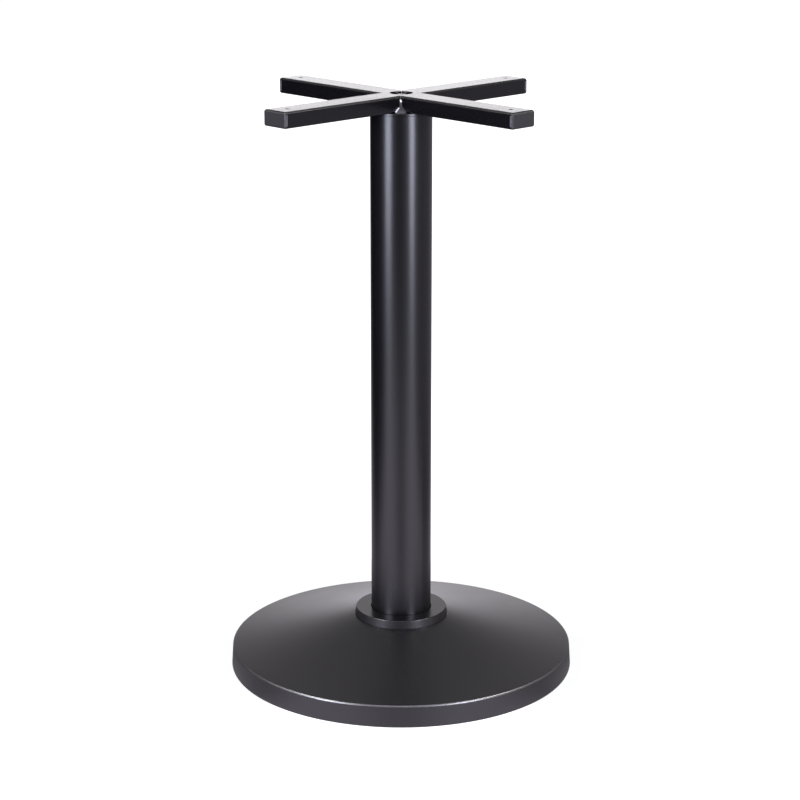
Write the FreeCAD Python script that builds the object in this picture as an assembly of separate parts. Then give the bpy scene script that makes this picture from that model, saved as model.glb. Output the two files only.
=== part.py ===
import FreeCAD, Part
import math
import os

# Pedestal table base: a round cast foot, a steel column and a spider of four folded-steel arms,
# all clamped together by one tie rod that runs down the middle of the column.
# Millimetres, +Z up. The origin is on the floor below the centre of the foot, and the arms of the
# spider lie along the X and Y axes.

V = FreeCAD.Vector
UP = V(0, 0, 1)
CENTRE = V(0, 0, 0)

# Whole stand
stand_height = 725.0        # rim of the foot to the top of the arms
glide_standoff = 1.0        # rim of the foot above the floor

# Foot casting
foot_radius = 215.5
foot_height = 63.5          # rim of the foot to the flat top that carries the collar
rim_height = 27.5
rim_draft = 1.8             # how far the rim leans in from its bottom to its top
rim_top_round = 2.5
rim_bottom_round = 1.5
rim_wall = 8.0
dome_wall = 7.0
dome_sag = 3.0              # hollow of the dome below a straight cone
flat_margin = 1.5           # flat top left uncovered outside the collar
socket_depth = 8.0          # how deep the column stands in the casting
socket_clearance = 0.25
pad_radius = 47.0           # thick pad under the column
pad_thickness = 12.5        # left under the socket's floor
rib_count = 8
rib_thickness = 6.0
rib_above_pad = 3.0         # lower edge of a rib above the pad's underside, where it meets the pad
rib_clear_of_rim = 9.0      # lower edge of a rib above the rim's bottom, where it meets the rim
boss_radius = 14.0

# Glides under the foot
glide_count = 4
glide_from_edge = 30.5      # edge of the foot to the middle of a glide
glide_radius = 13.0
glide_thickness = 5.0
glide_round = 1.2
glide_recess_radius = 5.0   # sinks the screw head clear of the floor
glide_recess_depth = 3.0
screw_radius = 2.0
screw_clearance = 0.2       # round the screw in its glide
pilot_clearance = 0.05      # round the screw in its boss
screw_head_radius = 4.0
screw_head_height = 2.2
screw_length = 14.0         # under the head
pilot_spare = 2.0           # pilot hole past the screw's tip
slot_width = 1.0
slot_depth = 1.0

# Collar round the foot of the column
collar_radius = 58.5
collar_thickness = 10.0
collar_draft = 1.5          # how far the collar's side leans in from its bottom to its top
collar_edge_round = 1.0
collar_bore_clearance = 0.3
collar_bore_chamfer = 0.6

# Column
column_radius = 37.5
column_wall = 2.0
tube_chamfer = 0.4

# Hub plate that closes the column and carries the spider
hub_flange = 3.0
hub_spigot = 7.0
hub_spigot_wall = 6.0
hub_clearance = 0.2
hub_edge_round = 0.6

# Spider arms
arm_half_span = 200.0
arm_width = 37.0
arm_height = 19.5
sheet = 2.5
bend_round = 3.0            # outside of the folds
corner_round = 1.5          # upright edges of the end tab
tip_round = 2.5             # lower edge of the end tab
mitre_gap = 0.4             # between neighbouring arms
nut_hole_radius = 14.0      # lets a socket spanner down to the nut
top_screw_from_end = 20.0   # end of an arm to its hole for a table top's screw
top_screw_hole_radius = 2.75

# Welds
weld_slot = 0.8             # between an end tab and the side walls of its arm
weld_crown_radius = 1.4
weld_crown_height = 0.5
corner_weld_top = 2.0       # leg of the weld in the corner between two arms, at its top
corner_weld_foot = 7.5      # and where it runs out on the hub plate
corner_weld_below_top = 3.5

# Tie rod, nuts and washers
rod_radius = 6.0
rod_hole_clearance = 0.5
rod_end_past_nut = 3.0
rod_end_chamfer = 1.0
nut_across_flats = 19.0
nut_height = 10.0
nut_chamfer_angle = 30.0
thread_clearance = 0.05
lock_washer_radius = 10.5
lock_washer_thickness = 2.5
lock_washer_split = 2.0
washer_clearance = 0.5
top_washer_radius = 12.0
top_washer_thickness = 2.5
bottom_washer_radius = 20.0
bottom_washer_thickness = 4.0

# Levels above the floor, from the bottom up
rim_bottom = glide_standoff
rim_top = rim_bottom + rim_height
casting_top = rim_bottom + foot_height
socket_floor = casting_top - socket_depth
pad_bottom = socket_floor - pad_thickness
collar_top = casting_top + collar_thickness
arm_top = rim_bottom + stand_height
hub_top = arm_top - arm_height
column_top = hub_top - hub_flange

flat_radius = collar_radius + flat_margin
rim_top_radius = foot_radius - rim_draft
column_bore = column_radius - column_wall
rod_hole_radius = rod_radius + rod_hole_clearance


def cylinder(radius, bottom, top, centre=CENTRE):
    return Part.makeCylinder(radius, top - bottom, V(centre.x, centre.y, bottom), UP)


def ring(outer, inner, bottom, top):
    return cylinder(outer, bottom, top).cut(cylinder(inner, bottom - 1, top + 1))


def box(low, high):
    return Part.makeBox(high[0] - low[0], high[1] - low[1], high[2] - low[2], V(*low))


def turned(edges):
    """Solid of revolution about the Z axis from edges drawn in the XZ plane."""
    return Part.Face(Part.Wire(edges)).revolve(CENTRE, UP, 360)


def chain(points):
    """Straight edges through points given as (radius, height)."""
    at = [V(r, 0, z) for r, z in points]
    return [Part.LineSegment(a, b).toShape() for a, b in zip(at, at[1:])]


def circle_edges(shape, radius, height):
    """Round edges of a turned shape that lie at one radius and height."""
    return [
        e
        for e in shape.Edges
        if isinstance(e.Curve, Part.Circle)
        and abs(e.Curve.Radius - radius) < 1e-3
        and abs(e.Curve.Center.z - height) < 1e-3
    ]


def edges_near(shape, test):
    """Edges whose middle point passes a test."""
    return [e for e in shape.Edges if test(e.CenterOfMass)]


def turn(shape, degrees):
    copy = shape.copy()
    copy.rotate(CENTRE, UP, degrees)
    return copy


def around(radius, count, first=0.0):
    """Places evenly spaced on a circle."""
    steps = [math.radians(first + 360.0 * k / count) for k in range(count)]
    return [V(radius * math.cos(a), radius * math.sin(a), 0) for a in steps]


def dome_arc(outer_radius, drop=0.0):
    """Arc of the dome's section, from outer_radius in to the edge of the flat top."""
    run = rim_top_radius - flat_radius
    rise = casting_top - rim_top
    chord = math.hypot(run, rise)
    bend = chord * chord / (8 * dome_sag) + dome_sag / 2
    reach = bend - dome_sag
    centre_r = (rim_top_radius + flat_radius) / 2 + reach * rise / chord
    centre_z = (casting_top + rim_top) / 2 + reach * run / chord

    def point(radius):
        depth = math.sqrt(bend * bend - (radius - centre_r) ** 2)
        return V(radius, 0, centre_z - depth - drop)

    middle = (outer_radius + flat_radius) / 2
    return Part.Arc(point(outer_radius), point(middle), point(flat_radius)).toShape()


def line(a, b):
    return Part.LineSegment(a, b).toShape()


def foot_outside():
    """The foot as a solid block: rim, dome and flat top."""
    dome = dome_arc(rim_top_radius)
    rim_edge = dome.Vertexes[0].Point
    flat_edge = dome.Vertexes[1].Point
    axis_top = V(0, 0, casting_top)
    axis_bottom = V(0, 0, rim_bottom)
    corner = V(foot_radius, 0, rim_bottom)
    block = turned([
        line(axis_bottom, corner),
        line(corner, rim_edge),
        dome,
        line(flat_edge, axis_top),
        line(axis_top, axis_bottom),
    ])
    block = block.makeFillet(rim_top_round, circle_edges(block, rim_top_radius, rim_top))
    return block.makeFillet(rim_bottom_round, circle_edges(block, foot_radius, rim_bottom))


def foot_hollow():
    """Space under the foot, before the pad, ribs and bosses are left standing in it."""
    inner_radius = rim_top_radius - rim_wall
    under_dome = dome_arc(inner_radius, dome_wall)
    rim_edge = under_dome.Vertexes[0].Point
    flat_edge = under_dome.Vertexes[1].Point
    mouth = V(foot_radius - rim_wall, 0, rim_bottom)
    axis_top = V(0, 0, flat_edge.z)
    axis_bottom = V(0, 0, rim_bottom - 1)
    mouth_below = V(mouth.x, 0, axis_bottom.z)
    return turned([
        line(axis_bottom, mouth_below),
        line(mouth_below, mouth),
        line(mouth, rim_edge),
        under_dome,
        line(flat_edge, axis_top),
        line(axis_top, axis_bottom),
    ])


def rib():
    """One upright rib along +X, from inside the pad to inside the rim's wall."""
    inner = pad_radius - rib_thickness
    outer = foot_radius - rim_wall / 2
    at_pad = pad_bottom + rib_above_pad
    at_rim = rim_bottom + rib_clear_of_rim
    half = rib_thickness / 2
    section = Part.makePolygon([
        V(inner, -half, at_pad),
        V(outer, -half, at_rim),
        V(outer, -half, casting_top),
        V(inner, -half, casting_top),
        V(inner, -half, at_pad),
    ])
    return Part.Face(section).extrude(V(0, rib_thickness, 0))


def base_casting():
    solid_parts = [cylinder(pad_radius, pad_bottom, casting_top)]
    solid_parts += [turn(rib(), 360.0 * k / rib_count) for k in range(rib_count)]
    for place in glide_places():
        solid_parts.append(cylinder(boss_radius, glide_thickness, casting_top, place))
    hollow = foot_hollow().cut(solid_parts)
    socket = cylinder(column_radius + socket_clearance, socket_floor, casting_top + 1)
    rod_hole = cylinder(rod_hole_radius, pad_bottom - 1, casting_top)
    pilot_radius = screw_radius + pilot_clearance
    pilots = [cylinder(pilot_radius, 0, pilot_top(), place) for place in glide_places()]
    return foot_outside().cut([hollow, socket, rod_hole] + pilots)


def glide_places():
    return around(foot_radius - glide_from_edge, glide_count, 45.0)


def screw_seat():
    """Height of the seat of a glide's screw head above the floor."""
    return glide_recess_depth


def pilot_top():
    return screw_seat() + screw_length + pilot_spare


def glide(place):
    pad = cylinder(glide_radius, 0, glide_thickness, place)
    pad = pad.makeFillet(glide_round, circle_edges(pad, glide_radius, 0))
    recess = cylinder(glide_recess_radius, -1, glide_recess_depth, place)
    hole = cylinder(screw_radius + screw_clearance, -1, glide_thickness + 1, place)
    return pad.cut([recess, hole])


def glide_screw(place):
    """Pan-head screw with a straight slot, pointing up into its boss."""
    bottom = screw_seat() - screw_head_height
    head = cylinder(screw_head_radius, bottom, screw_seat(), place)
    head = head.makeFillet(screw_head_height / 2, circle_edges(head, screw_head_radius, bottom))
    shank = cylinder(screw_radius, screw_seat(), screw_seat() + screw_length, place)
    reach = screw_head_radius + 1
    slot = box(
        (place.x - reach, place.y - slot_width / 2, bottom - 1),
        (place.x + reach, place.y + slot_width / 2, bottom + slot_depth),
    )
    return head.fuse(shank).removeSplitter().cut(slot)


def foot_collar():
    bore = column_radius + collar_bore_clearance
    top_radius = collar_radius - collar_draft
    collar = turned(chain([
        (bore, casting_top),
        (collar_radius, casting_top),
        (top_radius, collar_top),
        (bore, collar_top),
        (bore, casting_top),
    ]))
    collar = collar.makeChamfer(collar_bore_chamfer, circle_edges(collar, bore, collar_top))
    return collar.makeFillet(collar_edge_round, circle_edges(collar, top_radius, collar_top))


def column_tube():
    tube = ring(column_radius, column_bore, socket_floor, column_top)
    rims = circle_edges(tube, column_radius, socket_floor)
    rims += circle_edges(tube, column_radius, column_top)
    return tube.makeChamfer(tube_chamfer, rims)


def hub_plate():
    """Flange on the end of the column, with a ring below it that fits inside the tube."""
    spigot_radius = column_bore - hub_clearance
    flange = cylinder(column_radius, column_top, hub_top)
    flange = flange.makeFillet(hub_edge_round, circle_edges(flange, column_radius, hub_top))
    spigot_bottom = column_top - hub_spigot
    spigot = ring(spigot_radius, spigot_radius - hub_spigot_wall, spigot_bottom, column_top)
    hole = cylinder(rod_hole_radius, column_top - 1, hub_top + 1)
    return flange.fuse(spigot).removeSplitter().cut(hole)


def arm_blank():
    """Outside of one arm along +X, as a solid bar with its folds rounded."""
    half = arm_width / 2
    bar = box((0, -half, hub_top), (arm_half_span, half, arm_top))
    folds = edges_near(bar, lambda p: p.z > arm_top - 0.01 and p.x > 0.01)
    bar = bar.makeFillet(bend_round, folds)
    upright = edges_near(
        bar,
        lambda p: p.x > arm_half_span - 0.01 and half - abs(p.y) < 0.01 and p.z < arm_top - bend_round,
    )
    bar = bar.makeFillet(corner_round, upright)
    lower = edges_near(bar, lambda p: p.x > arm_half_span - 0.01 and p.z < hub_top + 0.01)
    return bar.makeFillet(tip_round, lower)


def mitre_wedge():
    """Room that one arm along +X may fill between its two neighbours."""
    nose = mitre_gap / math.sqrt(2)
    far = arm_half_span + 1
    wide = arm_width
    outline = Part.makePolygon([
        V(nose, 0, hub_top - 1),
        V(nose + wide, wide, hub_top - 1),
        V(far, wide, hub_top - 1),
        V(far, -wide, hub_top - 1),
        V(nose + wide, -wide, hub_top - 1),
        V(nose, 0, hub_top - 1),
    ])
    return Part.Face(outline).extrude(V(0, 0, arm_height + 2))


def tab_back():
    """Distance from the centre to the inner face of an end tab."""
    return arm_half_span - sheet


def arm():
    """Folded channel, open below, with a mitred inner end and a tab folded down at its tip."""
    half = arm_width / 2
    inside = box((-1, sheet - half, hub_top - 1), (tab_back(), half - sheet, arm_top - sheet))
    slots = [
        box((tab_back() - weld_slot, y, hub_top - 1), (tab_back(), y + sheet, arm_top - bend_round))
        for y in (-half, half - sheet)
    ]
    nut_hole = cylinder(nut_hole_radius, hub_top, arm_top + 1)
    screw_place = V(arm_half_span - top_screw_from_end, 0, 0)
    screw_hole = cylinder(top_screw_hole_radius, hub_top, arm_top + 1, screw_place)
    channel = arm_blank().cut([inside, nut_hole, screw_hole] + slots)
    return channel.common(mitre_wedge())


def end_weld(side):
    """Weld that fills the slot behind an end tab on one side of an arm, with a low crown."""
    half = arm_width / 2
    bottom = hub_top + tip_round
    top = arm_top - bend_round
    fill = box((tab_back() - weld_slot, half - sheet, bottom), (tab_back(), half, top))
    crown_centre = V(tab_back() - weld_slot / 2, half + weld_crown_height - weld_crown_radius, 0)
    reach = weld_crown_radius + 1
    outside = box(
        (tab_back() - reach, half, bottom - 1),
        (tab_back() + reach, half + reach, top + 1),
    )
    crown = cylinder(weld_crown_radius, bottom, top, crown_centre).common(outside)
    weld = fill.fuse(crown)
    if side < 0:
        weld = weld.mirror(CENTRE, V(0, 1, 0))
    return weld


def corner_weld():
    """Weld in the upright corner between the arms along +X and +Y, running out on the hub plate."""
    corner = arm_width / 2
    height = arm_height - corner_weld_below_top
    cone = Part.makeCone(corner_weld_foot, corner_weld_top, height, V(corner, corner, hub_top), UP)
    reach = corner_weld_foot + 1
    outside = box((corner, corner, hub_top - 1), (corner + reach, corner + reach, arm_top))
    return cone.common(outside)


def hexagon(across_flats, bottom, top):
    corner = across_flats / math.sqrt(3)
    points = [V(p.x, p.y, bottom) for p in around(corner, 6)]
    return Part.Face(Part.makePolygon(points + points[:1])).extrude(V(0, 0, top - bottom))


def nut(bottom):
    """Hexagon nut with its corners turned off at both ends."""
    top = bottom + nut_height
    corner = nut_across_flats / math.sqrt(3)
    flat = nut_across_flats / 2
    drop = (corner - flat) * math.tan(math.radians(nut_chamfer_angle))
    turned_blank = turned(chain([
        (0, bottom),
        (flat, bottom),
        (corner, bottom + drop),
        (corner, top - drop),
        (flat, top),
        (0, top),
        (0, bottom),
    ]))
    thread = cylinder(rod_radius + thread_clearance, bottom - 1, top + 1)
    return hexagon(nut_across_flats, bottom, top).common(turned_blank).cut(thread)


def washer(radius, bottom, thickness):
    return ring(radius, rod_radius + washer_clearance, bottom, bottom + thickness)


def lock_washer(bottom):
    """Split ring, pressed flat under its nut."""
    whole = washer(lock_washer_radius, bottom, lock_washer_thickness)
    split = box(
        (0, -lock_washer_split / 2, bottom - 1),
        (lock_washer_radius + 1, lock_washer_split / 2, bottom + lock_washer_thickness + 1),
    )
    return whole.cut(split)


def tie_rod(bottom, top):
    rod = cylinder(rod_radius, bottom, top)
    ends = circle_edges(rod, rod_radius, bottom) + circle_edges(rod, rod_radius, top)
    return rod.makeChamfer(rod_end_chamfer, ends)


def fasteners():
    """Tie rod with the washers and nuts that clamp the stand from both ends."""
    top_lock = hub_top + top_washer_thickness
    top_nut = top_lock + lock_washer_thickness
    bottom_lock = pad_bottom - bottom_washer_thickness - lock_washer_thickness
    bottom_nut = bottom_lock - nut_height
    rod_top = top_nut + nut_height + rod_end_past_nut
    rod_bottom = bottom_nut - rod_end_past_nut
    bottom_washer = pad_bottom - bottom_washer_thickness
    return {
        "tie_rod": tie_rod(rod_bottom, rod_top),
        "top_washer": washer(top_washer_radius, hub_top, top_washer_thickness),
        "top_lock_washer": lock_washer(top_lock),
        "top_nut": nut(top_nut),
        "bottom_washer": washer(bottom_washer_radius, bottom_washer, bottom_washer_thickness),
        "bottom_lock_washer": lock_washer(bottom_lock),
        "bottom_nut": nut(bottom_nut),
    }


def spider():
    """Four arms and the welds that join them."""
    names = ["arm_right", "arm_back", "arm_left", "arm_front"]
    quarters = [90.0 * k for k in range(len(names))]
    pieces = {name: turn(arm(), a) for name, a in zip(names, quarters)}
    corner_welds = [turn(corner_weld(), a) for a in quarters]
    end_welds = [turn(end_weld(side), a) for a in quarters for side in (1, -1)]
    pieces["corner_welds"] = Part.makeCompound(corner_welds)
    pieces["end_tab_welds"] = Part.makeCompound(end_welds)
    return pieces


def build():
    pieces = {
        "base_casting": base_casting(),
        "foot_collar": foot_collar(),
        "column_tube": column_tube(),
        "hub_plate": hub_plate(),
    }
    pieces.update(spider())
    pieces.update(fasteners())
    for number, place in enumerate(glide_places(), start=1):
        pieces[f"glide_{number}"] = glide(place)
    pieces["glide_screws"] = Part.makeCompound([glide_screw(p) for p in glide_places()])
    return pieces


os.makedirs("parts", exist_ok=True)
for name, shape in build().items():
    shape.exportStep(f"parts/{name}.step")
    solids = len(shape.Solids)
    print(f"{name}: {solids} solid(s), {shape.Volume / 1000:.2f} cm3, valid {shape.isValid()}")
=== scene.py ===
"""Pedestal table base: finishes, weld beads, rod threads and studio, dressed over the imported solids."""

import math
from typing import NamedTuple

import bpy
from bpy.props import FloatProperty, FloatVectorProperty, IntProperty, PointerProperty
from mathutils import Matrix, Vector


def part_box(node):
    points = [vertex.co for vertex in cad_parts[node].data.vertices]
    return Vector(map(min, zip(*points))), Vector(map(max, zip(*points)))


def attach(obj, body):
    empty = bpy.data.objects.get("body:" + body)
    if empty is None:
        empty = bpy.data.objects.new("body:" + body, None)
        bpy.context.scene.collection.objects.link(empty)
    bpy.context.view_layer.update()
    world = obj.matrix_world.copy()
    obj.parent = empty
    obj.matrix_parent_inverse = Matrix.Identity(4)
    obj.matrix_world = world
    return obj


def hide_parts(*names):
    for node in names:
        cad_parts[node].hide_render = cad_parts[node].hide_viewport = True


bl_info = {
    "name": "Pedestal Table Base",
    "version": (1, 0, 0),
    "blender": (4, 5, 0),
    "location": "3D View > Sidebar > Table Base",
    "description": "Dresses a pedestal table base with its finishes, weld beads, threads and studio",
    "category": "Object",
}

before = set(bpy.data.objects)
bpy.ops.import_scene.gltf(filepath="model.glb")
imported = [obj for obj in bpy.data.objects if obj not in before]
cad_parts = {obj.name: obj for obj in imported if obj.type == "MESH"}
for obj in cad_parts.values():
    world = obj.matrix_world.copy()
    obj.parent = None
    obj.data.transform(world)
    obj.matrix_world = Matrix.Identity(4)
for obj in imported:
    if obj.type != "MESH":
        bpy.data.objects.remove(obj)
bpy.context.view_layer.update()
ARMS = ("arm_right", "arm_back", "arm_left", "arm_front")
GLIDES = ("glide_1", "glide_2", "glide_3", "glide_4")
NUTS_AND_WASHERS = (
    "top_nut",
    "top_lock_washer",
    "top_washer",
    "bottom_nut",
    "bottom_lock_washer",
    "bottom_washer",
)
WHITE = (1.0, 1.0, 1.0, 1.0)

# Finishes. A roughness change is against the coat on the column.
ARM_ROUGHNESS_CHANGE = -0.06
END_BAND = (0.0009, 0.0002)     # start and end of the fade to the matt end of an arm, in from its tip
END_ROUGHNESS_CHANGE = 0.2
UNDERSIDE_ROUGHNESS_CHANGE = 0.12
COAT_IOR = 1.5
NYLON_IOR = 1.53
SOLE = (0.0006, 0.0)            # heights between which the scuffs of a glide come in
SCUFFS = (0.5, 0.68)            # noise values between which a scuff comes in
MOST_NOISE = (0.3, 0.7)         # range that most values of a noise fill

# Slopes of the casting, as the height of its normal: 1 on a flat top, 0 on an upright side, less beneath
UNDERSIDE = (0.05, -0.35)
EDGE_ABOVE_SIDE = (0.07, 0.22)
EDGE_BELOW_TOP = (0.92, 0.75)

# Painted glints on a corner weld, near-white spots that stand in for the lamps caught on the bead: out from
# the sides of its two arms, down from its top or up from the hub plate, and size
GLINTS_BELOW_TOP = (
    (0.0012, 0.0017, 0.0008, 0.0013),
    (0.0016, 0.0012, 0.0026, 0.0013),
)
GLINTS_ABOVE_HUB = (
    (0.0014, 0.0091, 0.0025, 0.0017),
    (0.0016, 0.0075, 0.0042, 0.0019),
    (0.0016, 0.0057, 0.0058, 0.0016),
)
GLINT_CORE = 0.7                # part of a glint's size within which it is painted fully near-white
# metallic share in the painted glints
GLINT_METALLIC = 0.2

# Beads and thread
CORNER_BEAD_SINK = 0.0002       # start of a corner bead below the top of the hub plate
END_BEAD_INSET = 0.0029         # tip of an arm to the middle of the bead beside its end tab
END_BEAD_RIPPLE = 0.5           # its ripples against those of a corner bead
END_BEAD_EXTRA_PUDDLES = 2.0
THREAD_ROWS_PER_TURN = 9
ANGLE_SLACK = 0.01              # keeps a bead's last outer vertex on its outer side

# Studio floor and walls
FLOOR_RADIUS = 14.0
ROOM_RADIUS = 10.0
ROOM_HEIGHT = 9.0
ROOM_SIDES = 96

# The floor and the room as the coat mirrors them. A range gives two places, and where it has four numbers the
# strengths there. A place is a distance or a height in metres, or a turn from the camera's side in radians.
SHEET_SIDE = (1.0, 0.3)
SHEET_FRONT = (-1.9, -1.0)
SHEET_WIDENS_TO_CAMERA = 0.6
SHEET_WIDENS_AWAY = 0.3
SHEET_WAIST = 0.25              # sets the narrowest place, just behind the base
SHEET_BY_TURN = (0.05, 0.5, 0.84, 1.6)
SHEET_BESIDE = (1.05, 1.85, 1.0, 0.33)
SHEET_BEHIND = (2.6, 3.1)
ROUND_THE_FOOT = (0.42, 0.29)
FOOT_BRIGHTER_IN_FRONT = (0.5, 0.1, 0.0, 0.62)
FOOT_DARKER_BESIDE = (0.62, 1.1, 0.0, 0.64)
FLOOR_TO_THE_RIGHT = (-0.6, 1.4, 0.0, 0.34)
FLOOR_TO_THE_EYE = (0.45, 1.2, 1.0, 1.13)
FLOOR_GLOW = 0.9                # share of the floor's look that is plain white, the rest keeps the shadow
SWEEP_SIDE = (4.8, 3.0)
SWEEP_AWAY = (1.0, 4.0)
SWEEP_UP = (4.0, 0.6, 0.36, 1.45)
WALL_LEFT_TO_RIGHT = (-4.0, 8.0, 0.06, 0.30)
OVERHEAD_START = (2.0, 5.2, 0.0, 0.50)
OVERHEAD_END = (5.3, 8.2, 1.0, 0.53)
CEILING_UP = (6.0, 8.6, 0.35, 1.15)
CEILING_NEARER = (9.4, 6.2)
OVERHEAD_TO_CAMERA = (5.0, 1.0, 1.0, 0.66)
SKY_ON_OBJECT = 0.25            # strength of the world's light on the base, where the eye sees 1
SENSOR_WIDTH = 36.0


class Lamp(NamedTuple):
    """Area lamp. Its turn is in degrees round the base from the camera's side, lengths are in metres."""

    name: str
    power: str                  # name of its setting
    tinted: bool
    turn: float
    distance: float
    height: float
    size: tuple
    aim: float                  # height on the axis that it faces


LAMPS = (
    Lamp(
        name="strip_left",
        power="left_lamp",
        tinted=True,
        turn=-48.0,
        distance=2.1,
        height=0.85,
        size=(0.80, 1.3),
        aim=0.85,
    ),
    Lamp(
        name="strip_right",
        power="right_lamp",
        tinted=True,
        turn=40.0,
        distance=2.1,
        height=0.85,
        size=(0.56, 1.3),
        aim=0.85,
    ),
    Lamp(
        name="softbox_high_left",
        power="high_lamps",
        tinted=False,
        turn=-76.0,
        distance=1.9,
        height=2.25,
        size=(0.7, 1.0),
        aim=0.1,
    ),
    Lamp(
        name="softbox_high_right",
        power="high_lamps",
        tinted=False,
        turn=76.0,
        distance=1.9,
        height=2.25,
        size=(0.7, 1.0),
        aim=0.1,
    ),
    Lamp(
        name="softbox_front",
        power="front_lamp",
        tinted=True,
        turn=0.0,
        distance=1.6,
        height=2.6,
        size=(1.2, 0.8),
        aim=0.1,
    ),
    Lamp(
        name="softbox_rear",
        power="rear_lamp",
        tinted=False,
        turn=180.0,
        distance=9.3,
        height=2.1,
        size=(2.6, 0.85),
        aim=0.72,
    ),
)


def low(node):
    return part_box(node)[0]


def high(node):
    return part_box(node)[1]


# Node helpers


def put(tree, kind, inputs=None, **settings):
    """Adds a node, sets it up, and links or fills its inputs by name or number."""
    made = tree.nodes.new(kind)
    for key, value in settings.items():
        setattr(made, key, value)
    for key, value in (inputs or {}).items():
        socket = made.inputs[key]
        if isinstance(value, bpy.types.NodeSocket):
            tree.links.new(value, socket)
        else:
            socket.default_value = value
    return made


def calc(tree, operation, *values):
    """Output of a Math node. It works in shader and geometry trees alike."""
    node = put(tree, "ShaderNodeMath", dict(enumerate(values)), operation=operation)
    return node.outputs[0]


def between(tree, value, start, end, out_start=0.0, out_end=1.0):
    """Value eased from one range to another."""
    node = put(
        tree,
        "ShaderNodeMapRange",
        {"Value": value, "From Min": start, "From Max": end, "To Min": out_start, "To Max": out_end},
        interpolation_type="SMOOTHSTEP",
    )
    return node.outputs[0]


def mixed_colour(tree, factor, first, second):
    node = put(tree, "ShaderNodeMix", {0: factor, 6: first, 7: second}, data_type="RGBA")
    return node.outputs[2]


def own_place(tree):
    """Place on a piece, which is the place in the whole base, because every piece sits at the origin."""
    return put(tree, "ShaderNodeTexCoord").outputs["Object"]


def split(tree, place):
    return put(tree, "ShaderNodeSeparateXYZ", {0: place}).outputs


def vector(tree, x=0.0, y=0.0, z=0.0):
    return put(tree, "ShaderNodeCombineXYZ", {0: x, 1: y, 2: z}).outputs[0]


def turned(tree, place, angle):
    """Place turned round the Z axis."""
    inputs = {"Vector": place, "Angle": angle}
    return put(tree, "ShaderNodeVectorRotate", inputs, rotation_type="Z_AXIS").outputs[0]


def axis_distance(tree, x, y):
    """Distance from the upright axis of the base."""
    return calc(tree, "SQRT", calc(tree, "ADD", calc(tree, "MULTIPLY", x, x), calc(tree, "MULTIPLY", y, y)))


def noise(tree, where, scale, detail=2.0, rough=0.5):
    inputs = {"Vector": where, "Scale": scale, "Detail": detail, "Roughness": rough}
    return put(tree, "ShaderNodeTexNoise", inputs).outputs[0]


def bumped(tree, height, distance, strength, under=None):
    inputs = {"Height": height, "Distance": distance, "Strength": strength}
    if under is not None:
        inputs["Normal"] = under
    return put(tree, "ShaderNodeBump", inputs).outputs[0]


def opaque(colour, factor=1.0):
    """Colour for a socket, made lighter or darker by a factor."""
    return (colour[0] * factor, colour[1] * factor, colour[2] * factor, 1.0)


def mottled(tree, where, colour, other, scale, detail=3.0, fade=(0.35, 0.75)):
    """Colour with patches of another one, which comes in between the two noise values of the fade."""
    patches = between(tree, noise(tree, where, scale, detail), *fade)
    return mixed_colour(tree, patches, colour, other)


def varied(tree, where, scale, smoothest, roughest, detail=3.0):
    """Roughness that drifts between two values."""
    return between(tree, noise(tree, where, scale, detail), *MOST_NOISE, smoothest, roughest)


def new_material(name):
    material = bpy.data.materials.new(name)
    material.use_nodes = True
    material.node_tree.nodes.clear()
    return material, material.node_tree


def shaded(tree, inputs):
    """Principled shader wired to the output. Numbers that never vary go straight on its sockets."""
    shader = put(tree, "ShaderNodeBsdfPrincipled", inputs)
    put(tree, "ShaderNodeOutputMaterial", {"Surface": shader.outputs[0]})


# Finishes


def powder_coat(name, finish, tip=None, change=0.0):
    """Satin black powder coat: fine orange peel, a faint mottle and a slow change of gloss.

    Its roughness differs from the setting by a change. At the distance tip from the axis, on the ground ends
    of the arms, it is thin and matt.
    """
    material, tree = new_material(name)
    where = own_place(tree)
    lighter = opaque(finish.coat_colour, factor=1.5)
    colour = mottled(tree, where, opaque(finish.coat_colour), lighter, scale=900.0)
    mean = finish.coat_roughness + change
    gloss = varied(tree, where, scale=7.0, smoothest=mean - 0.004, roughest=mean + 0.008)
    if tip is not None:
        x, y, _ = split(tree, where)
        out = calc(tree, "MAXIMUM", calc(tree, "ABSOLUTE", x), calc(tree, "ABSOLUTE", y))
        start, end = END_BAND
        matt = between(tree, out, tip - start, tip - end)
        colour = mixed_colour(tree, matt, colour, opaque(finish.tip_colour))
        gloss = calc(tree, "MULTIPLY_ADD", matt, END_ROUGHNESS_CHANGE, gloss)
    orange_peel = noise(tree, where, scale=380.0, detail=1.0)
    peel = bumped(tree, orange_peel, finish.peel_depth, strength=0.6)
    powder = noise(tree, where, scale=2600.0, detail=1.0)
    powder_depth = finish.peel_depth * 0.25
    grain = bumped(tree, powder, powder_depth, strength=0.4, under=peel)
    shaded(tree, {"Base Color": colour, "Roughness": gloss, "Normal": grain, "IOR": COAT_IOR})
    return material


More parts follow.
